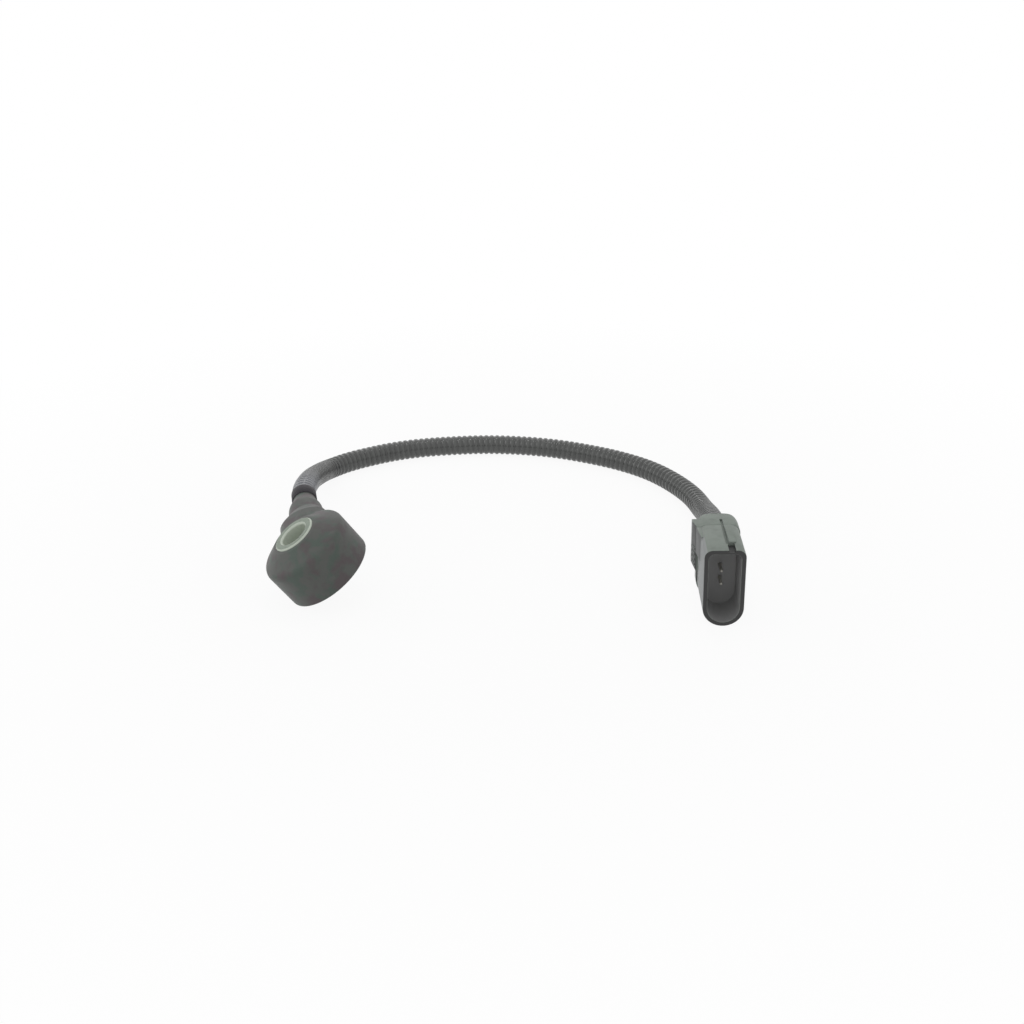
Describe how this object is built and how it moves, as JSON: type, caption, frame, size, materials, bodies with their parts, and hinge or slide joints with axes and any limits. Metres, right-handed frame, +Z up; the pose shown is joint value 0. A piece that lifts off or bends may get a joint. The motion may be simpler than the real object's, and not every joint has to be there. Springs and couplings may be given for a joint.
{
  "type": "engine knock sensor",
  "caption": "Round moulded sensor head with a bolt bore, joined by a corrugated conduit to a flat two-pin connector with a U-shaped opening.",
  "frame": {"origin": "centre of the bolt bore on the seat, the underside of the steel sleeve", "axes": "+Z up; +Y horizontal, the way the neck points away from the bore; +X to the right of it. The head lies tilted on its lower rim as on a table, so the bore leans towards -X."},
  "size_m": [0.1551, 0.1564, 0.026],
  "materials": {
    "sensor_housing": "satin moulded black polyamide",
    "pressure_sleeve": "turned steel, worn bright on the edges",
    "lower_insulator": "thin insulating film",
    "lower_contact": "stamped contact sheet",
    "piezo_ring": "fired ceramic with silvered faces",
    "upper_contact": "stamped contact sheet",
    "upper_insulator": "thin insulating film",
    "insulating_tube": "thin insulating tube",
    "seismic_mass": "turned steel",
    "disc_spring": "spring steel",
    "clamp_nut": "turned steel",
    "neck_sleeve": "dark shrunk sleeve",
    "conduit": "corrugated black polyamide",
    "signal_wire": "insulated wire",
    "ground_wire": "insulated wire",
    "connector_housing": "satin moulded grey-black polyamide",
    "rear_cover": "satin moulded grey-black polyamide",
    "terminal_upper": "tinned brass",
    "terminal_lower": "tinned brass",
    "terminal_lock": "satin moulded polyamide",
    "seal_upper": "soft seal",
    "seal_lower": "soft seal"
  },
  "bodies": {
    "root": {"sensor_housing": "sensor_housing", "pressure_sleeve": "pressure_sleeve", "lower_insulator": "lower_insulator", "lower_contact": "lower_contact", "piezo_ring": "piezo_ring", "upper_contact": "upper_contact", "upper_insulator": "upper_insulator", "insulating_tube": "insulating_tube", "seismic_mass": "seismic_mass", "disc_spring": "disc_spring", "clamp_nut": "clamp_nut", "neck_sleeve": "neck_sleeve", "conduit": "conduit", "signal_wire": "signal_wire", "ground_wire": "ground_wire", "connector_housing": "connector_housing", "rear_cover": "rear_cover", "terminal_upper": "terminal_upper", "terminal_lower": "terminal_lower", "terminal_lock": "terminal_lock", "seal_upper": "seal_upper", "seal_lower": "seal_lower"}
  },
  "joints": []
}
